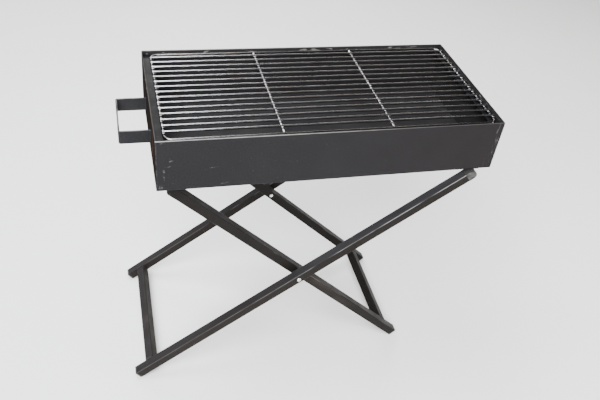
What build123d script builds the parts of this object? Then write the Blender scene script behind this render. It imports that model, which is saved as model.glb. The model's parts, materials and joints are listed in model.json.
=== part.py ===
from build123d import *
from math import cos, degrees, radians, sin
import os

os.makedirs("parts", exist_ok=True)

# Folding charcoal grill: an open sheet-steel firebox on a scissor stand of square tube.
# +X runs from the handle end to the plain end, -Y is the front, +Z is up.
# The origin is on the floor, midway between the leftmost and the rightmost point.

# Firebox sheet
box_length = 624.0
box_depth = 300.0
box_height = 102.0
sheet = 1.5
bend_radius = 2.2

# Square tube of the stand
tube = 19.0
tube_wall = 1.5
tube_corner = 1.8

# Outer frame: its feet stand at the left, its noses press up under the right end
outer_angle = 37.0
outer_foot_reach = 407.5
outer_nose_reach = 396.0
outer_width = 307.6
outer_bar_reach = 370.5

# Inner frame: its top turns on the hinge rod at the left, its feet stand at the right
inner_angle = 43.4
hinge_from_left = 28.0
hinge_drop = 19.5
inner_bar_reach = 313.5
frame_gap = 4.2

# Leg ends
nose_length = 19.0
spigot_length = 14.0
spigot_play = 0.1
plug_head = 3.0
nose_rounding = 1.2

# Scissor rivets and hinge
rivet_radius = 3.0
rivet_head_radius = 4.2
rivet_head_height = 2.4
rivet_head_rounding = 1.9
running_play = 0.06
washer_radius = 8.0
washer_play = 0.2
hinge_rod_radius = 5.0
lug_thickness = 3.0
lug_radius = 11.0
lug_spread = 92.0
lug_flange = 20.0
rest_bar_width = 25.0
rest_bar_thickness = 4.0
rest_bar_inset = 4.5
rest_bar_chamfer = 0.8
rest_gap = 0.35

# Handle strap
handle_reach = 55.0
handle_span = 107.0
handle_drop = 5.5
strap_height = 25.0
strap_thickness = 3.0
strap_bend = 3.0

# Grid ledges and cooking grid
ledge_leg = 20.0
ledge_thickness = 2.0
ledge_drop = 8.0
ledge_end_play = 0.4
frame_wire = 5.0
long_wire = 4.0
grid_half_length = 298.0
grid_shift = 2.5
grid_gap = 0.3
long_wire_count = 15
wire_pitch = 17.4
grid_corner = 12.0
wire_end_chamfer = 0.4

# Heights and the three axes that the stand turns about
half_tube = tube / 2
outer_lean = radians(outer_angle)
inner_lean = radians(inner_angle)
pivot_z = outer_foot_reach * sin(outer_lean) + half_tube * cos(outer_lean)
nose_z = pivot_z + outer_nose_reach * sin(outer_lean)
box_bottom = nose_z + half_tube + rest_gap + rest_bar_thickness
box_top = box_bottom + box_height
hinge_z = box_bottom - hinge_drop
inner_nose_reach = (hinge_z - pivot_z) / sin(inner_lean)
inner_foot_reach = (pivot_z - half_tube * cos(inner_lean)) / sin(inner_lean)

# Along X, measured first from the firebox's left end, then moved to the origin
pivot_from_left = hinge_from_left + inner_nose_reach * cos(inner_lean)
foot_overhang = outer_foot_reach * cos(outer_lean) + half_tube * sin(outer_lean) - pivot_from_left
box_left = -(box_length - foot_overhang) / 2
box_x = box_left + box_length / 2
pivot_x = box_left + pivot_from_left
hinge_x = box_left + hinge_from_left
nose_x = pivot_x + outer_nose_reach * cos(outer_lean)

# Leg planes across Y
outer_leg_y = outer_width / 2 - half_tube
inner_leg_y = outer_leg_y - tube - frame_gap
outer_inside = outer_leg_y - half_tube
inner_inside = inner_leg_y - half_tube

SIDES = {"front": -1, "rear": 1}


def save(piece, label):
    """Name a finished piece and write it."""
    piece.label = label
    export_step(piece, f"parts/{label}.step")


def leg_plane(lean, y):
    """Side plane of a leg: local X runs up the leg from the scissor pivot, local Y is square to it."""
    return Plane(origin=(pivot_x, y, pivot_z), x_dir=(cos(lean), 0, sin(lean)), z_dir=(0, -1, 0))


# ---------------------------------------------------------------- firebox

box_plane = Plane(origin=(box_x, 0, box_bottom))

with BuildPart(box_plane) as fire_trough:
    Box(box_length - 2 * sheet, box_depth, box_height, align=(Align.CENTER, Align.CENTER, Align.MIN))
    fillet(fire_trough.edges().filter_by(Axis.X).group_by(Axis.Z)[0], bend_radius)
    trough_ends = fire_trough.faces().filter_by(Axis.X)
    trough_top = fire_trough.faces().sort_by(Axis.Z)[-1]
    offset(amount=-sheet, openings=[trough_top, *trough_ends])
save(fire_trough.part, "fire_trough")


def end_panel(side):
    """Flat end plate welded over an open end of the trough; side is -1 at the left, 1 at the right."""
    inner_face = Plane(
        origin=(box_x + side * (box_length / 2 - sheet), 0, box_bottom + box_height / 2),
        x_dir=(0, 1, 0),
        z_dir=(side, 0, 0),
    )
    with BuildPart() as panel:
        with BuildSketch(inner_face) as outline:
            Rectangle(box_depth, box_height)
            fillet(outline.vertices().group_by(Axis.Z)[0], bend_radius)
        extrude(amount=sheet)
    return panel.part


save(end_panel(-1), "end_panel_left")
save(end_panel(1), "end_panel_right")


def grid_ledge(side):
    """Angle bar welded inside an end panel, a little below the rim, that the cooking grid lies on."""
    wall = box_x + side * (box_length / 2 - sheet)
    ledge_top = box_top - ledge_drop
    half_run = box_depth / 2 - sheet - ledge_end_play
    with BuildPart() as ledge:
        with BuildSketch(Plane.XZ) as angle_section:
            with BuildLine():
                Polyline(
                    (wall, ledge_top),
                    (wall - side * ledge_leg, ledge_top),
                    (wall - side * ledge_leg, ledge_top - ledge_thickness),
                    (wall - side * ledge_thickness, ledge_top - ledge_thickness),
                    (wall - side * ledge_thickness, ledge_top - ledge_leg),
                    (wall, ledge_top - ledge_leg),
                    close=True,
                )
            make_face()
        extrude(amount=half_run, both=True)
        outer_corner = ledge.edges().filter_by(Axis.Y).group_by(Axis.Z)[-1].sort_by(Axis.X)
        fillet(outer_corner[0] if side > 0 else outer_corner[-1], ledge_thickness / 2)
    return ledge.part


save(grid_ledge(-1), "grid_ledge_left")
save(grid_ledge(1), "grid_ledge_right")

# Handle: one flat bar bent to a U, with both arms butted against the left end and welded
handle_z = box_bottom + box_height / 2 - handle_drop
strap_centre = handle_span / 2 - strap_thickness / 2
strap_outer = box_left - handle_reach + strap_thickness / 2

with BuildPart() as handle_strap:
    with BuildSketch(Plane.XY.offset(handle_z)) as strap_run:
        with BuildLine():
            FilletPolyline(
                (box_left, -strap_centre),
                (strap_outer, -strap_centre),
                (strap_outer, strap_centre),
                (box_left, strap_centre),
                radius=strap_bend,
            )
        trace(line_width=strap_thickness)
    extrude(amount=strap_height / 2, both=True)
save(handle_strap.part, "handle_strap")

# ---------------------------------------------------------------- underside fittings


def hinge_lug(side):
    """Angle lug welded under the firebox, with an ear that the hinge rod turns in."""
    ear_y = side * lug_spread
    with BuildPart() as lug:
        with BuildSketch(Plane.XZ.offset(-ear_y)):
            with Locations((hinge_x, hinge_z)):
                Circle(lug_radius)
            with Locations((hinge_x, (hinge_z + box_bottom) / 2)):
                Rectangle(2 * lug_radius, hinge_drop)
        extrude(amount=lug_thickness / 2, both=True)
        with BuildSketch(Plane.XY.offset(box_bottom)):
            with Locations((hinge_x, ear_y - side * (lug_flange - lug_thickness) / 2)):
                Rectangle(2 * lug_radius, lug_flange)
        extrude(amount=-lug_thickness)
        with Locations(Plane(origin=(hinge_x, ear_y, hinge_z), z_dir=(0, -1, 0))):
            Hole(hinge_rod_radius + running_play, depth=lug_thickness)
    return lug.part


with BuildPart() as rest_bar:
    with BuildSketch(Plane.XY.offset(box_bottom)):
        with Locations((nose_x, 0)):
            Rectangle(rest_bar_width, box_depth - 2 * rest_bar_inset)
    extrude(amount=-rest_bar_thickness)
    chamfer(rest_bar.faces().sort_by(Axis.Z)[0].edges(), rest_bar_chamfer)
save(rest_bar.part, "rest_bar")

with BuildPart() as hinge_rod:
    with BuildSketch(Plane.XZ):
        with Locations((hinge_x, hinge_z)):
            Circle(hinge_rod_radius)
    extrude(amount=inner_inside, both=True)
save(hinge_rod.part, "hinge_rod")

# ---------------------------------------------------------------- stand


def tube_leg(plane, foot_reach, nose_reach):
    """Square tube from the foot plug's head to the nose piece, drilled for the scissor rivet."""
    foot_end = -foot_reach + plug_head
    nose_end = nose_reach + half_tube - nose_length
    length = nose_end - foot_end
    with BuildPart(plane) as leg:
        with Locations(((foot_end + nose_end) / 2, 0, 0)):
            Box(length, tube, tube)
        run = Vector(plane.x_dir)
        long_edges = leg.edges().filter_by(Axis(plane.origin, run))
        fillet(long_edges, tube_corner)
        with Locations(((foot_end + nose_end) / 2, 0, 0)):
            Box(length, tube - 2 * tube_wall, tube - 2 * tube_wall, mode=Mode.SUBTRACT)
        Cylinder(rivet_radius + running_play, 2 * tube, mode=Mode.SUBTRACT)
    return leg.part


def nose_piece(plane, nose_reach):
    """Rounded steel end of a leg, with a square spigot that fits inside the tube."""
    shoulder = nose_reach + half_tube - nose_length
    spigot = tube - 2 * tube_wall - 2 * spigot_play
    with BuildPart(plane) as nose:
        with BuildSketch(plane):
            with Locations(((shoulder + nose_reach) / 2, 0)):
                Rectangle(nose_reach - shoulder, tube)
            with Locations((nose_reach, 0)):
                Circle(half_tube)
        extrude(amount=half_tube, both=True)
        rim = nose.faces().filter_by(Axis.Y).edges()
        fillet(rim.sort_by_distance(Vertex(*plane.from_local_coords((shoulder, 0, 0))))[2:], nose_rounding)
        with Locations((shoulder - spigot_length / 2, 0, 0)):
            Box(spigot_length, spigot, spigot)
    return nose.part


def foot_plug(plane, foot_reach):
    """Plastic plug pressed into the foot end of a leg."""
    spigot = tube - 2 * tube_wall - 2 * spigot_play
    with BuildPart(plane) as plug:
        with Locations((-foot_reach + plug_head / 2, 0, 0)):
            Box(plug_head, tube, tube)
        run = Vector(plane.x_dir)
        fillet(plug.edges().filter_by(Axis(plane.origin, run)), tube_corner)
        with Locations((-foot_reach + plug_head + spigot_length / 2, 0, 0)):
            Box(spigot_length, spigot, spigot)
    return plug.part


def foot_bar(lean, reach, inside):
    """Square tube welded between the two legs of a frame, near its feet."""
    bar_plane = Plane(
        origin=(pivot_x - reach * cos(lean), 0, pivot_z - reach * sin(lean)),
        x_dir=(0, 1, 0),
        z_dir=(-sin(lean), 0, cos(lean)),
    )
    with BuildPart(bar_plane) as bar:
        Box(2 * inside, tube, tube)
        fillet(bar.edges().filter_by(Axis.Y), tube_corner)
        Box(2 * inside, tube - 2 * tube_wall, tube - 2 * tube_wall, mode=Mode.SUBTRACT)
    return bar.part


def scissor_rivet(side):
    """Domed rivet through an outer leg, the spacer washer and an inner leg."""
    outside = outer_leg_y + half_tube
    with BuildPart(Plane(origin=(pivot_x, 0, pivot_z), z_dir=(0, side, 0))) as rivet:
        with Locations((0, 0, (outside + inner_inside) / 2)):
            Cylinder(rivet_radius, outside - inner_inside)
        with Locations((0, 0, outside + rivet_head_height / 2), (0, 0, inner_inside - rivet_head_height / 2)):
            Cylinder(rivet_head_radius, rivet_head_height)
        fillet(rivet.edges().group_by(Axis.Y)[0], rivet_head_rounding)
        fillet(rivet.edges().group_by(Axis.Y)[-1], rivet_head_rounding)
    return rivet.part


def spacer_washer(side):
    """Washer in the gap between an outer and an inner leg."""
    washer_y = outer_inside - frame_gap / 2
    with BuildPart(Plane(origin=(pivot_x, side * washer_y, pivot_z), z_dir=(0, side, 0))) as washer:
        Cylinder(washer_radius, frame_gap - washer_play)
        Cylinder(rivet_radius + running_play, frame_gap, mode=Mode.SUBTRACT)
    return washer.part


for name, side in SIDES.items():
    outer_plane = leg_plane(outer_lean, side * outer_leg_y)
    save(tube_leg(outer_plane, outer_foot_reach, outer_nose_reach), f"outer_leg_{name}")
    save(nose_piece(outer_plane, outer_nose_reach), f"outer_nose_{name}")
    save(foot_plug(outer_plane, outer_foot_reach), f"outer_foot_plug_{name}")

    # The inner leg's local X also runs up the leg, so it leans the other way
    inner_plane = leg_plane(radians(180) - inner_lean, side * inner_leg_y)
    save(tube_leg(inner_plane, inner_foot_reach, inner_nose_reach), f"inner_leg_{name}")
    save(nose_piece(inner_plane, inner_nose_reach), f"inner_nose_{name}")
    save(foot_plug(inner_plane, inner_foot_reach), f"inner_foot_plug_{name}")

    save(scissor_rivet(side), f"scissor_rivet_{name}")
    save(spacer_washer(side), f"spacer_washer_{name}")
    save(hinge_lug(side), f"hinge_lug_{name}")

save(foot_bar(outer_lean, outer_bar_reach, outer_inside), "outer_foot_bar")
save(foot_bar(radians(180) - inner_lean, inner_bar_reach, inner_inside), "inner_foot_bar")

# ---------------------------------------------------------------- cooking grid

grid_x = box_x + grid_shift
frame_wire_z = box_top - ledge_drop + grid_gap + frame_wire / 2
long_wire_z = frame_wire_z + frame_wire / 2 + long_wire / 2
grid_half_width = wire_pitch * (long_wire_count + 1) / 2

with BuildPart() as grid_frame_wire:
    with BuildLine(Plane.XY.offset(frame_wire_z)) as frame_path:
        FilletPolyline(
            (grid_x - grid_half_length, -grid_half_width),
            (grid_x + grid_half_length, -grid_half_width),
            (grid_x + grid_half_length, grid_half_width),
            (grid_x - grid_half_length, grid_half_width),
            radius=grid_corner,
            close=True,
        )
    with BuildSketch(Plane(origin=frame_path.line @ 0, z_dir=frame_path.line % 0)):
        Circle(frame_wire / 2)
    sweep()
save(grid_frame_wire.part, "grid_frame_wire")

cross_bar_x = grid_half_length / 3
cross_bar_run = grid_half_width - frame_wire / 2

for name, offset_x in {"left": -cross_bar_x, "right": cross_bar_x}.items():
    with BuildPart() as cross_bar:
        with BuildSketch(Plane.XZ):
            with Locations((grid_x + offset_x, frame_wire_z)):
                Circle(frame_wire / 2)
        extrude(amount=cross_bar_run, both=True)
    save(cross_bar.part, f"grid_cross_bar_{name}")

for index in range(long_wire_count):
    wire_y = wire_pitch * (index - (long_wire_count - 1) / 2)
    with BuildPart() as wire:
        with BuildSketch(Plane.YZ.offset(grid_x)):
            with Locations((wire_y, long_wire_z)):
                Circle(long_wire / 2)
        extrude(amount=grid_half_length + frame_wire / 2, both=True)
        chamfer(wire.edges().filter_by(GeomType.CIRCLE), wire_end_chamfer)
    save(wire.part, f"grid_wire_{index + 1:02d}")

print("box bottom", round(box_bottom, 3), "box top", round(box_top, 3), "box x", round(box_x, 3))
print("pivot", round(pivot_x, 4), round(pivot_z, 4), "hinge", round(hinge_x, 4), round(hinge_z, 4))
print("fold", inner_angle, "scissor", round(degrees(outer_lean + inner_lean), 3))
print("scissor per hinge", round((outer_angle + inner_angle) / inner_angle, 5))
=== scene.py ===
"""Looks of the folding charcoal grill, built around its CAD frame. Lengths are metres."""
import json
import math
import random

import bmesh
import bpy
from mathutils import Euler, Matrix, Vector, noise


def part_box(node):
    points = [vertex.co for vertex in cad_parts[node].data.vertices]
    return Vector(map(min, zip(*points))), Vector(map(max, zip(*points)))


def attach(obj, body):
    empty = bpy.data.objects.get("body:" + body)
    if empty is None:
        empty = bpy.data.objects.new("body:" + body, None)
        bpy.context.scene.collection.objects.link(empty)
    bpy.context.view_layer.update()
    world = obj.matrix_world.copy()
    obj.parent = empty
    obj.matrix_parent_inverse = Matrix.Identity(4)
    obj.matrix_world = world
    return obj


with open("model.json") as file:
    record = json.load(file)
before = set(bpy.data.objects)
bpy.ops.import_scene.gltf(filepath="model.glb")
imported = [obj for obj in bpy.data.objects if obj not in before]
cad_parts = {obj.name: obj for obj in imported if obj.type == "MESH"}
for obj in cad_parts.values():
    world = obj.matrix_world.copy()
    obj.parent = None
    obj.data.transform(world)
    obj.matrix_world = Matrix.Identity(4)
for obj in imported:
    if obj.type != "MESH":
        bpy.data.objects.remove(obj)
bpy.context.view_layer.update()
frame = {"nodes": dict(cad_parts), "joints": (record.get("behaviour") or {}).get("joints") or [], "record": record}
nodes = frame["nodes"]
record = frame["record"]

MM = 0.001

# Places read from the frame
box_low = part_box("fire_trough")[0]
box_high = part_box("fire_trough")[1]
box_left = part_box("end_panel_left")[0].x
box_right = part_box("end_panel_right")[1].x
box_front = box_low.y
box_rear = box_high.y
box_bottom = box_low.z
box_top = box_high.z
sheet = box_low.x - box_left
joints = {joint["name"]: joint for joint in frame["joints"]}
hinge = Vector(joints["stand_fold"]["pos_m"])
pivot = Vector(joints["scissor"]["pos_m"])
SIDES = {"front": -1, "rear": 1}


def body_nodes(body):
    return record["behaviour"]["bodies"][body]


def leg_lean(frame_name, sign):
    """Lean of a frame's legs in radians, from the place of its foot bar below the scissor pivot."""
    low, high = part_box(f"{frame_name}_foot_bar")
    reach = pivot - (low + high) / 2
    return sign * math.atan2(reach.z, abs(reach.x))


outer_lean = leg_lean("outer", 1)
inner_lean = leg_lean("inner", -1)
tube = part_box("outer_leg_front")[1].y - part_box("outer_leg_front")[0].y

# ---------------------------------------------------------------- camera

CAMERA_LENS = 41.01
CAMERA_PLACE = (-0.3405, -1.0504, 1.2516)
CAMERA_TURN = (50.06, -6.07, -14.01)

camera_data = bpy.data.cameras.new("camera")
camera_data.lens = CAMERA_LENS
camera = bpy.data.objects.new("camera", camera_data)
camera.location = CAMERA_PLACE
camera.rotation_euler = Euler([math.radians(turn) for turn in CAMERA_TURN])
bpy.context.scene.collection.objects.link(camera)
bpy.context.scene.camera = camera

# ---------------------------------------------------------------- light

GRILL_MIDDLE = (0.03, 0, 0.5)
STUDIO_GLOW = 0.13
FLOOR_HALF = 8.0


def soft_light(name, place, target, size, power, colour):
    """Rectangular soft box at place, turned to face target."""
    data = bpy.data.lights.new(name, "AREA")
    data.shape = "RECTANGLE"
    data.size, data.size_y = size
    data.energy = power
    data.color = colour
    lamp = bpy.data.objects.new(name, data)
    lamp.location = place
    lamp.rotation_euler = (Vector(target) - Vector(place)).to_track_quat("-Z", "Y").to_euler()
    bpy.context.scene.collection.objects.link(lamp)


soft_light("overhead_left", (-0.55, 0.45, 2.4), (-0.1, 0, 0.5), (1.6, 0.55), 66, (0.90, 0.94, 1.0))
soft_light("back_strip", (-0.35, 2.2, 1.9), GRILL_MIDDLE, (1.7, 0.7), 42, (1.0, 0.97, 0.92))
soft_light("back_right", (1.05, 2.2, 1.9), (0.2, 0, 0.5), (1.1, 0.5), 10, (1.0, 0.93, 0.84))
soft_light("front_key", (-1.3, -2.2, 3.1), (0.03, 0, 0.25), (2.6, 2.2), 430, (0.97, 0.98, 1.0))
soft_light("right_side", (3.3, -1.5, 1.2), GRILL_MIDDLE, (1.5, 1.5), 120, (1.0, 0.90, 0.82))

world = bpy.data.worlds.new("studio")
world.use_nodes = True
glow = world.node_tree.nodes["Background"].inputs
glow["Color"].default_value = (1.0, 1.0, 1.0, 1.0)
glow["Strength"].default_value = STUDIO_GLOW
bpy.context.scene.world = world

# ---------------------------------------------------------------- materials


class Finish:
    """A principled material, with short calls that add nodes to it and join them."""

    def __init__(self, name):
        self.material = bpy.data.materials.new(name)
        self.material.use_nodes = True
        self.nodes = self.material.node_tree.nodes
        self.links = self.material.node_tree.links
        self.surface = self.nodes["Principled BSDF"]
        coordinates = self.nodes.new("ShaderNodeTexCoord")
        self.place = coordinates.outputs["Object"]
        self.normal = coordinates.outputs["Normal"]

    def add(self, kind, inputs, output=0, **settings):
        node = self.nodes.new(kind)
        for key, value in settings.items():
            setattr(node, key, value)
        for key, value in inputs.items():
            if isinstance(value, bpy.types.NodeSocket):
                self.links.new(value, node.inputs[key])
            else:
                node.inputs[key].default_value = value
        return node.outputs[output]

    def math(self, operation, a, b=0.0):
        return self.add("ShaderNodeMath", {0: a, 1: b}, operation=operation)

    def times(self, *values):
        product = values[0]
        for value in values[1:]:
            product = self.math("MULTIPLY", product, value)
        return product

    def largest(self, *values):
        top = values[0]
        for value in values[1:]:
            top = self.math("MAXIMUM", top, value)
        return top

    def size(self, value):
        """Value without its sign."""
        return self.math("ABSOLUTE", value)

    def ramp(self, value, low, high, out_low=0.0, out_high=1.0):
        """Smooth step of value between low and high."""
        return self.add(
            "ShaderNodeMapRange",
            {"Value": value, "From Min": low, "From Max": high, "To Min": out_low, "To Max": out_high},
            interpolation_type="SMOOTHSTEP",
        )

    def noise(self, scale, detail=3.0, stretch=(1, 1, 1), shift=0.0, place=None):
        mapped = self.add(
            "ShaderNodeMapping",
            {"Vector": place or self.place, "Scale": stretch, "Location": (shift, shift, shift)},
        )
        return self.add("ShaderNodeTexNoise", {"Vector": mapped, "Scale": scale, "Detail": detail})

    def blend(self, share, a, b):
        """Colour between a and b; share is 0 for a."""
        return self.add("ShaderNodeMix", {0: share, 6: a, 7: b}, output=2, data_type="RGBA")

    def tilted(self, vector, lean):
        """Vector in the frame of a leg: X along the leg, Y across the grill, Z square to both."""
        return self.add(
            "ShaderNodeVectorRotate",
            {"Vector": vector, "Angle": lean},
            rotation_type="Y_AXIS",
        )

    def parts(self, vector):
        node = self.nodes.new("ShaderNodeSeparateXYZ")
        self.links.new(vector, node.inputs[0])
        return node.outputs

    def bump(self, heights):
        """Bump from a list of (height socket, depth in metres)."""
        normal = None
        for height, depth in heights:
            inputs = {"Height": height, "Distance": depth, "Strength": 1.0}
            if normal:
                inputs["Normal"] = normal
            normal = self.add("ShaderNodeBump", inputs)
        self.links.new(normal, self.surface.inputs["Normal"])

    def feed(self, **sockets):
        for key, value in sockets.items():
            self.links.new(value, self.surface.inputs[key.replace("_", " ")])

    def fix(self, **values):
        for key, value in values.items():
            self.surface.inputs[key.replace("_", " ")].default_value = value


def rgb(red, green, blue):
    return (red, green, blue, 1.0)


# Specular level of sound paint, and of the rusty outside of the left end
PAINT_SHINE = 0.06
DULL_SHINE = 0.0

# What shows through or lies on the black paint, and the painted light laid over it
# Rubbed steel, also used as a painted highlight on the rims, the tube corners and the handle's top
RUBBED_STEEL_AND_HIGHLIGHT = rgb(0.24, 0.235, 0.23)
# Painted light: paler tone for the up-facing faces of the stand tubes
TOP_FACE_LIGHT = rgb(0.034, 0.034, 0.038)
PALE_SPECK = rgb(0.09, 0.088, 0.085)
BROWN_RUB = rgb(0.050, 0.042, 0.036)
SCRAPED_PAINT = rgb(0.022, 0.021, 0.020)
FAINT_RUST = rgb(0.015, 0.012, 0.0107)
DEEP_RUST = rgb(0.044, 0.026, 0.018)
# Painted light: paler tone for the floor inside the firebox
INSIDE_FLOOR_LIGHT = rgb(0.023, 0.022, 0.022)


def paint_base(finish, dark, light, place=None, stretch=(1, 1, 1)):
    """Satin paint: slow blotches, a fine grain and a few pale specks. Returns its colour socket."""
    blotch = finish.ramp(finish.noise(9, 4, place=place, stretch=stretch), 0.3, 0.7)
    grain = finish.ramp(finish.noise(420, 2, shift=3.0), 0.35, 0.65)
    colour = finish.blend(blotch, dark, light)
    lifted = [1.35 * channel for channel in light[:3]]
    colour = finish.blend(finish.times(grain, 0.5), colour, rgb(*lifted))
    specks = finish.ramp(finish.noise(260, 1, shift=11.0), 0.72, 0.78)
    return finish.blend(finish.times(specks, 0.4), colour, PALE_SPECK)


def paint_feel(finish, worn, low=0.36, high=0.52, shine=PAINT_SHINE):
    """Roughness, metal share, shine and orange-peel bump of paint, rubbed to steel where worn is 1."""
    rough = finish.ramp(finish.noise(35, 4, shift=5.0), 0.3, 0.7, low, high)
    finish.feed(Roughness=rough, Metallic=finish.times(worn, 0.6))
    finish.fix(Specular_IOR_Level=shine)
    finish.bump([(finish.noise(950, 2), 0.05 * MM), (finish.noise(60, 2, shift=7.0), 0.12 * MM)])


def tube_paint(name, lean, wear_and_top_light, dark, light):
    """Black paint on a square tube that leans by lean; a share from 0 to 1 rubs its rounded corners, which also
    carry a painted highlight, and sets how much painted light pales its up-facing faces.
    """
    finish = Finish(name)
    along = finish.tilted(finish.place, lean)
    colour = paint_base(finish, dark, light, along, (0.35, 1, 1))
    turned = finish.parts(finish.tilted(finish.normal, lean))
    across = finish.size(turned[1])
    square = finish.size(turned[2])
    # Rounded corners rubbed to steel, also a painted highlight along the tube edges, strongest up the legs
    corner_wear_and_highlight = finish.ramp(finish.times(across, square), 0.20, 0.45)
    patchy = finish.ramp(finish.noise(26, 5, (0.5, 1, 1), 2.0, along), 0.62 - 0.34 * wear_and_top_light, 0.70 - 0.2 * wear_and_top_light)
    upper = finish.ramp(finish.parts(finish.place)[2], pivot.z - 0.12, pivot.z + 0.10, 0.40, 1.0)
    worn = finish.times(corner_wear_and_highlight, patchy, upper)
    rubs = finish.ramp(finish.noise(15, 6, (0.25, 1, 1), 9.0, along), 0.60, 0.75)
    colour = finish.blend(finish.times(rubs, 0.4), colour, BROWN_RUB)

    # Painted light: the faces that look up are made paler, most towards the top of the legs where the firebox
    # shades them
    lit_top_faces = finish.times(
        finish.ramp(turned[2], 0.6, 0.95),
        finish.ramp(upper, 0.4, 1.0, 0.45, 1.0),
        finish.ramp(finish.noise(40, 4, (0.3, 1, 1), 13.0, along), 0.3, 0.7, 0.6, 1.0),
    )
    colour = finish.blend(finish.times(lit_top_faces, wear_and_top_light), colour, TOP_FACE_LIGHT)
    finish.feed(Base_Color=finish.blend(finish.times(worn, 0.45), colour, RUBBED_STEEL_AND_HIGHLIGHT))
    paint_feel(finish, worn)
    return finish.material


def scratch_mask(finish, axes, marks):
    """Union of soft elongated marks on a flat panel.

    axes are the two place sockets of the panel's plane; a mark is (u, v, half length, half width, turn).
    """
    found = []
    for u, v, half_length, half_width, turn in marks:
        du = finish.math("SUBTRACT", axes[0], u)
        dv = finish.math("SUBTRACT", axes[1], v)
        c, s = math.cos(math.radians(turn)), math.sin(math.radians(turn))
        run = finish.math("ADD", finish.times(du, c), finish.times(dv, s))
        side = finish.math("SUBTRACT", finish.times(dv, c), finish.times(du, s))
        run = finish.math("POWER", finish.size(finish.math("DIVIDE", run, half_length)), 2.0)
        side = finish.math("POWER", finish.size(finish.math("DIVIDE", side, half_width)), 2.0)
        found.append(finish.ramp(finish.math("ADD", run, side), 1.0, 0.2))
    return finish.largest(*found)


def firebox_paint(name, shine):
    """Black paint on the firebox sheet, rubbed along its rim and seams and scuffed near its corners, with painted
    light: a highlight along the rim, a warmer tone towards the right and paler patches on the floor inside.
    """
    finish = Finish(name)
    x, y, z = finish.parts(finish.place)[:3]
    colour = paint_base(finish, rgb(0.0112, 0.0110, 0.0121), rgb(0.0140, 0.0136, 0.0150))
    # Painted light: warmer, slightly darker tone towards the right end, standing in for the warm light from the
    # right
    warm_light_tint = finish.ramp(finish.math("ADD", x, finish.times(finish.noise(6), 0.2)), -0.05, 0.55)
    colour = finish.blend(finish.times(warm_light_tint, 0.8), colour, rgb(0.0120, 0.0104, 0.0104))

    from_middle = finish.size(y)
    from_left = finish.math("SUBTRACT", x, box_left)
    from_right = finish.math("SUBTRACT", box_right, x)
    from_end = finish.math("MINIMUM", from_left, from_right)
    outside = finish.ramp(from_middle, box_rear - 0.7 * MM, box_rear - 0.2 * MM)
    inner = finish.ramp(from_middle, box_rear - 0.9 * MM, box_rear - 1.3 * MM)

    # Rim: the top of every wall, rubbed to steel and also a painted highlight that fades from the left end to the
    # right
    broken = finish.ramp(finish.noise(55, 5, shift=4.0), 0.30, 0.62, 0.75, 1.0)
    rim_highlight_fade = finish.ramp(x, box_left + 0.1, box_right - 0.1, 1.0, 0.12)
    long_wall = finish.ramp(from_middle, box_rear - 2.2 * MM, box_rear - 1.6 * MM, 0.12, 1.0)
    rim = finish.times(finish.ramp(z, box_top - 1.3 * MM, box_top - 0.3 * MM), broken, rim_highlight_fade, long_wall)

    # Upright seams where the end panels meet the trough
    flecks = finish.ramp(finish.noise(170, 3, shift=6.0), 0.46, 0.62)
    seam = finish.times(finish.ramp(from_end, 3.0 * MM, 1.0 * MM), outside, flecks, 0.10)

    # Grinding marks beside the right-hand seam
    ground = finish.times(
        finish.ramp(from_right, 20 * MM, 10 * MM),
        finish.ramp(finish.noise(240, 4, (1, 1, 0.18), 8.0), 0.56, 0.68),
        outside,
        0.20,
    )

    # Scuffs on the front sheet, in millimetres from the left end and above the bottom
    marks = [
        (12, 98.5, 6, 1.5, 10),
        (13, 42, 2.2, 4.5, 5),
        (13, 30, 1.0, 9, 3),
        (25, 62, 6, 1.6, 20),
        (22, 51, 4, 1.2, 30),
        (115, 9, 9, 1.6, 12),
        (96, 44, 10, 0.8, 4),
        (7, 8, 5, 6, 0),
        (617, 39, 1.2, 8, 0),
        (620, 62, 1.0, 12, 0),
    ]
    placed = [
        (box_left + u * MM, box_bottom + v * MM, run * MM, side * MM, turn) for u, v, run, side, turn in marks
    ]
    front = finish.ramp(y, box_front + 0.7 * MM, box_front + 0.2 * MM)
    speckled = finish.ramp(finish.noise(330, 4, shift=1.0), 0.40, 0.66)
    scuffs = finish.times(scratch_mask(finish, (x, z), placed), front, speckled, 0.28)

    # Pale dashes just under the rim on the inner faces
    dashes = finish.times(
        finish.ramp(z, box_top - 11 * MM, box_top - 7 * MM),
        finish.ramp(z, box_top - 2 * MM, box_top - 4 * MM),
        finish.ramp(finish.noise(70, 3, (0.8, 1, 2.2), 12.0), 0.60, 0.68),
        inner,
        0.8,
    )

    # Painted light: paler patches on the floor inside, brightening the inside of the firebox
    inside_floor_light = finish.times(
        inner,
        finish.ramp(z, box_bottom + 0.7 * MM, box_bottom + 1.1 * MM),
        finish.ramp(from_end, 0.8 * MM, 1.2 * MM),
        finish.ramp(finish.noise(22, 4, shift=17.0), 0.3, 0.7, 0.35, 0.8),
    )
    colour = finish.blend(inside_floor_light, colour, INSIDE_FLOOR_LIGHT)

    # Worn also carries the rim's painted highlight
    worn = finish.largest(rim, seam, ground, dashes, scuffs)

    # Rust stains on the outside of the left end
    rust = finish.ramp(finish.noise(18, 5, shift=15.0), 0.55, 0.72)
    left_end = finish.ramp(x, box_left + 0.4 * MM, box_left + 0.1 * MM, 0.0, 0.9)
    colour = finish.blend(left_end, colour, FAINT_RUST)
    colour = finish.blend(finish.times(rust, left_end), colour, DEEP_RUST)
    colour = finish.blend(worn, colour, RUBBED_STEEL_AND_HIGHLIGHT)
    finish.feed(Base_Color=colour)
    paint_feel(finish, worn, 0.34, 0.50, shine)
    return finish.material


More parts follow.
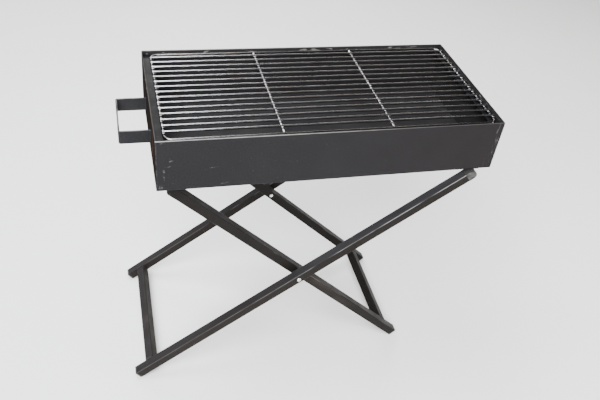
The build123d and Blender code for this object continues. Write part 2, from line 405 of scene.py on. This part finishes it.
def fitting_paint(name, dark, light):
    """Plain satin paint on small fittings."""
    finish = Finish(name)
    worn = finish.ramp(finish.noise(90, 5, shift=2.0), 0.66, 0.74)
    colour = finish.blend(worn, paint_base(finish, dark, light), SCRAPED_PAINT)
    finish.feed(Base_Color=colour)
    paint_feel(finish, worn)
    return finish.material


def handle_paint():
    """Satin paint on the handle's flat bar, rubbed on its top and bottom edges where hands go; the pale top is
    also a painted highlight.
    """
    finish = Finish("handle_paint")
    up = finish.size(finish.parts(finish.normal)[2])
    edge = finish.times(finish.ramp(up, 0.5, 0.9), finish.ramp(finish.noise(60, 4), 0.35, 0.6), 0.3)
    colour = paint_base(finish, rgb(0.0134, 0.0134, 0.0146), rgb(0.0176, 0.0176, 0.0190))
    finish.feed(Base_Color=finish.blend(edge, colour, RUBBED_STEEL_AND_HIGHLIGHT))
    paint_feel(finish, edge)
    return finish.material


def plated_wire(name, bright, dull):
    """Plating on drawn wire, with dull smears, brown heat stains and a slightly uneven surface."""
    finish = Finish(name)
    smear = finish.ramp(finish.noise(30, 4, (0.35, 1, 1)), 0.30, 0.72)
    stain = finish.ramp(finish.noise(16, 5, shift=4.0), 0.54, 0.72)
    colour = finish.blend(smear, bright, dull)
    colour = finish.blend(finish.times(stain, 0.5), colour, rgb(0.20, 0.16, 0.12))
    finish.feed(Base_Color=colour, Roughness=finish.ramp(smear, 0.0, 1.0, 0.16, 0.25))
    finish.fix(Metallic=1.0)
    finish.bump([(finish.noise(90, 2, (0.3, 1, 1), 6.0), 0.035 * MM)])
    return finish.material


def rubbed_steel():
    """Bare steel of the outer noses: fine rub lines and grey smudges."""
    finish = Finish("bare_steel")
    lines = finish.ramp(finish.noise(900, 3, (0.12, 1, 0.12)), 0.35, 0.65)
    smudge = finish.ramp(finish.noise(110, 4, shift=3.0), 0.38, 0.68)
    colour = finish.blend(lines, rgb(0.050, 0.050, 0.049), rgb(0.078, 0.077, 0.074))
    colour = finish.blend(smudge, colour, rgb(0.034, 0.034, 0.033))
    finish.feed(Base_Color=colour, Roughness=finish.ramp(smudge, 0.0, 1.0, 0.42, 0.60))
    finish.fix(Metallic=0.4, Specular_IOR_Level=0.3)
    finish.bump([(lines, 0.04 * MM)])
    return finish.material


def zinc_plate():
    """Bright zinc plating with a fine spangle."""
    finish = Finish("rivet_steel")
    spangle = finish.ramp(finish.noise(500, 3), 0.35, 0.65)
    colour = finish.blend(spangle, rgb(0.86, 0.86, 0.85), rgb(0.66, 0.66, 0.65))
    finish.feed(Base_Color=colour, Roughness=finish.ramp(spangle, 0.0, 1.0, 0.24, 0.38))
    finish.fix(Metallic=0.85)
    finish.bump([(finish.noise(700, 2), 0.03 * MM)])
    return finish.material


def moulded_plastic():
    """Black tube plugs with a fine moulded grain, scuffed grey where they meet the ground."""
    finish = Finish("plug_plastic")
    grain = finish.noise(1400, 2)
    low = finish.ramp(finish.parts(finish.place)[2], 5 * MM, 1 * MM)
    scuff = finish.times(low, finish.ramp(finish.noise(240, 4), 0.4, 0.65))
    colour = finish.blend(finish.ramp(grain, 0.3, 0.7), rgb(0.026, 0.026, 0.023), rgb(0.040, 0.040, 0.036))
    finish.feed(Base_Color=finish.blend(scuff, colour, rgb(0.12, 0.115, 0.11)))
    finish.feed(Roughness=finish.ramp(grain, 0.3, 0.7, 0.50, 0.68))
    finish.bump([(grain, 0.05 * MM)])
    return finish.material


def floor_white():
    finish = Finish("floor_white")
    tone = finish.ramp(finish.noise(1.3, 3), 0.3, 0.7)
    finish.feed(Base_Color=finish.blend(tone, rgb(0.86, 0.86, 0.86), rgb(0.89, 0.89, 0.89)))
    finish.fix(Roughness=0.85, Specular_IOR_Level=0.2)
    return finish.material


finishes = {
    "firebox_paint": firebox_paint("firebox_paint", PAINT_SHINE),
    "bracket_paint": fitting_paint("bracket_paint", rgb(0.0034, 0.0035, 0.0042), rgb(0.0052, 0.0053, 0.0062)),
    "handle_paint": handle_paint(),
    "grid_chrome": plated_wire("grid_chrome", rgb(0.40, 0.40, 0.42), rgb(0.22, 0.22, 0.225)),
    "bare_steel": rubbed_steel(),
    "rivet_steel": zinc_plate(),
    "plug_plastic": moulded_plastic(),
}
stand_finishes = {
    "outer_frame": tube_paint(
        "outer_stand_paint", outer_lean, 0.75, rgb(0.0080, 0.0066, 0.0058), rgb(0.0119, 0.0099, 0.0087)
    ),
    "inner_frame": tube_paint(
        "inner_stand_paint", inner_lean, 0.3, rgb(0.0063, 0.0056, 0.0051), rgb(0.0097, 0.0086, 0.0077)
    ),
}
# Painted shade: a darker copy of the grid's plating for the frame wire, holding down the highlight the overhead
# light puts on it
shaded_frame_wire_finish = plated_wire("shaded_frame_wire", rgb(0.17, 0.17, 0.175), rgb(0.11, 0.11, 0.11))
left_end_finish = firebox_paint("left_end_paint", DULL_SHINE)
slot_of = {part["node"]: part["material_slot"] for part in record["subparts"]}

for body in record["behaviour"]["bodies"]:
    for name in body_nodes(body):
        slot = slot_of[name]
        finish = stand_finishes[body] if slot == "stand_paint" else finishes[slot]
        if name == "grid_frame_wire":
            finish = shaded_frame_wire_finish
        if name == "end_panel_left":
            finish = left_end_finish
        for place in nodes[name].material_slots:
            place.material = finish

# ---------------------------------------------------------------- made pieces


def finish_piece(name, mesh, body, material):
    """Turn a bmesh into a smooth-shaded piece that rides on a body."""
    bmesh.ops.recalc_face_normals(mesh, faces=mesh.faces)
    data = bpy.data.meshes.new(name)
    mesh.to_mesh(data)
    mesh.free()
    data.polygons.foreach_set("use_smooth", [True] * len(data.polygons))
    data.materials.append(material)
    piece = bpy.data.objects.new(name, data)
    bpy.context.scene.collection.objects.link(piece)
    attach(piece, body)
    return piece


HANDLE_THICKNESS = 3 * MM
BEAD_STEP = 0.8 * MM
BEAD_PITCH = 3.0 * MM
BEAD_RING = 8


def add_bead(mesh, start, end, radius, chance):
    """Add one weld bead from start to end: a thin lumpy roll with the ripples of a hand-made weld."""
    start, end = Vector(start), Vector(end)
    run = end - start
    direction = run.normalized()
    side = direction.orthogonal().normalized()
    other = direction.cross(side)
    count = max(4, round(run.length / BEAD_STEP))
    phase = chance.uniform(0, math.tau)
    rings = []
    for step in range(count + 1):
        share = step / count
        ripple = abs(math.sin(math.pi * share * run.length / BEAD_PITCH + phase))
        taper = min(1.0, 6 * min(share, 1 - share) + 0.25)
        drift = chance.uniform(-0.10, 0.10)
        size = radius * taper * (0.80 + 0.25 * ripple + drift)
        centre = start + run * share
        ring = []
        for turn in range(BEAD_RING):
            angle = math.tau * turn / BEAD_RING
            out = side * math.cos(angle) + other * math.sin(angle)
            lump = 1 + 0.12 * noise.noise(400 * (centre + out * radius))
            ring.append(mesh.verts.new(centre + out * size * lump))
        rings.append(ring)
    for near, far in zip(rings, rings[1:]):
        for turn in range(BEAD_RING):
            after = (turn + 1) % BEAD_RING
            mesh.faces.new((near[turn], near[after], far[after], far[turn]))
    mesh.faces.new(rings[0])
    mesh.faces.new(rings[-1])


def weld_piece(name, runs, radius, body, material, seed):
    """One piece holding a bead for each (start, end) in runs."""
    chance = random.Random(seed)
    mesh = bmesh.new()
    for start, end in runs:
        add_bead(mesh, start, end, radius, chance)
    return finish_piece(name, mesh, body, material)


def corner_seams(name, inset, low, high, radius, seed):
    """Upright beads from low to high on the four corners of the firebox, set in by inset."""
    runs = []
    for x in (box_left + sheet, box_right - sheet):
        for y in (box_front, box_rear):
            inward = inset if y < 0 else -inset
            runs.append(((x, y + inward, low), (x, y + inward, high)))
    weld_piece(name, runs, radius, "firebox", finishes["firebox_paint"], seed)


def end_panel_welds():
    """Stitch welds along the bottom edges of the end panels, seen from below."""
    runs = []
    for x in (box_left + sheet, box_right - sheet):
        for y in (-0.11, -0.04, 0.04, 0.11):
            runs.append(((x, y - 0.014, box_bottom + 0.2 * MM), (x, y + 0.014, box_bottom + 0.2 * MM)))
    weld_piece("bottom_stitches", runs, 1.1 * MM, "firebox", finishes["firebox_paint"], 13)


def ledge_welds():
    """Short beads under the two grid ledges, inside the firebox."""
    runs = []
    for name in ("grid_ledge_left", "grid_ledge_right"):
        low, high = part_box(name)
        x = low.x if low.x < 0 else high.x
        for y in (-0.12, 0.0, 0.12):
            runs.append(((x, y - 0.012, low.z), (x, y + 0.012, low.z)))
    weld_piece("ledge_welds", runs, 1.6 * MM, "firebox", finishes["bracket_paint"], 14)


def handle_welds():
    """Beads down both sides of the handle's arms where they butt against the left end."""
    low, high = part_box("handle_strap")
    x = high.x - 0.3 * MM
    runs = []
    for y in (low.y, low.y + HANDLE_THICKNESS, high.y - HANDLE_THICKNESS, high.y):
        runs.append(((x, y, low.z + 2 * MM), (x, y, high.z - 2 * MM)))
    weld_piece("handle_welds", runs, 1.1 * MM, "firebox", finishes["handle_paint"], 18)


def underside_welds():
    """Beads that hold the hinge lugs and the rest bar under the firebox."""
    runs = []
    for side in SIDES:
        low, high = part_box(f"hinge_lug_{side}")
        for x in (low.x, high.x):
            runs.append(((x, low.y + 2 * MM, high.z), (x, high.y - 2 * MM, high.z)))
    low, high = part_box("rest_bar")
    for x in (low.x, high.x):
        for y in (-0.10, 0.0, 0.10):
            runs.append(((x, y - 0.015, high.z), (x, y + 0.015, high.z)))
    weld_piece("underside_welds", runs, 1.6 * MM, "firebox", finishes["bracket_paint"], 15)


def foot_bar_welds(frame_name, lean, seed):
    """Beads round both ends of a foot bar, on the inner sides of the legs."""
    low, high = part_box(f"{frame_name}_foot_bar")
    centre = (low + high) / 2
    along = Vector((math.cos(lean), 0, math.sin(lean)))
    square = Vector((-math.sin(lean), 0, math.cos(lean)))
    half = tube / 2
    runs = []
    for end in (low.y, high.y):
        corners = [
            centre + along * (a * half) + square * (b * half) + Vector((0, end - centre.y, 0))
            for a, b in ((1, 1), (-1, 1), (-1, -1), (1, -1))
        ]
        for first, second in zip(corners, corners[1:] + corners[:1]):
            trim = (second - first) * 0.08
            runs.append((first + trim, second - trim))
    body = f"{frame_name}_frame"
    weld_piece(f"{frame_name}_bar_welds", runs, 1.5 * MM, body, stand_finishes[body], seed)


def rod_welds():
    """A bead round each end of the hinge rod, against the inner legs."""
    low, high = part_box("hinge_rod")
    radius = (high.z - low.z) / 2 + 0.4 * MM
    chance = random.Random(21)
    mesh = bmesh.new()
    turns = 10
    angles = [math.tau * k / turns for k in range(turns)]
    for y in (low.y + 0.3 * MM, high.y - 0.3 * MM):
        ring = [Vector((hinge.x + radius * math.cos(a), y, hinge.z + radius * math.sin(a))) for a in angles]
        for first, second in zip(ring, ring[1:] + ring[:1]):
            add_bead(mesh, first, second, 1.2 * MM, chance)
    finish_piece("rod_welds", mesh, "inner_frame", stand_finishes["inner_frame"])


def grid_nuggets():
    """Resistance-weld nuggets where each long wire crosses the frame wire and the cross bars."""
    frame_low, frame_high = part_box("grid_frame_wire")
    frame_radius = (frame_high.z - frame_low.z) / 2
    contact = frame_high.z
    crossings = [frame_low.x + frame_radius, frame_high.x - frame_radius]
    for name in ("grid_cross_bar_left", "grid_cross_bar_right"):
        low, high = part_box(name)
        crossings.append((low.x + high.x) / 2)
    chance = random.Random(31)
    mesh = bmesh.new()
    for name in body_nodes("cooking_grid"):
        if not name.startswith("grid_wire"):
            continue
        low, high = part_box(name)
        y = (low.y + high.y) / 2
        for x in crossings:
            made = bmesh.ops.create_icosphere(mesh, subdivisions=2, radius=1.0)
            size = Vector((2.9, 2.7, 1.7)) * MM * chance.uniform(0.9, 1.12)
            centre = Vector((x + chance.uniform(-0.4, 0.4) * MM, y, contact - 0.1 * MM))
            for vert in made["verts"]:
                lump = 1 + 0.16 * noise.noise(2.2 * vert.co + centre * 300)
                vert.co = centre + Vector([a * b for a, b in zip(vert.co * lump, size)])
    finish_piece("grid_nuggets", mesh, "cooking_grid", finishes["grid_chrome"])


# Ground nearly flush up the corners, and left as heavier lumps at their feet
corner_seams("corner_welds", 0.35 * MM, box_bottom + 5 * MM, box_top - 1 * MM, 0.85 * MM, 11)
corner_seams("corner_weld_feet", 0.5 * MM, box_bottom + 2 * MM, box_bottom + 20 * MM, 1.7 * MM, 12)
end_panel_welds()
ledge_welds()
handle_welds()
underside_welds()
foot_bar_welds("outer", outer_lean, 16)
foot_bar_welds("inner", inner_lean, 17)
rod_welds()
grid_nuggets()

# ---------------------------------------------------------------- floor


def make_floor(half):
    """Flat pale floor under the grill."""
    mesh = bmesh.new()
    corners = ((-half, -half), (half, -half), (half, half), (-half, half))
    mesh.faces.new([mesh.verts.new((x, y, 0)) for x, y in corners])
    data = bpy.data.meshes.new("floor")
    mesh.to_mesh(data)
    mesh.free()
    data.materials.append(floor_white())
    floor = bpy.data.objects.new("floor", data)
    bpy.context.scene.collection.objects.link(floor)


make_floor(FLOOR_HALF)
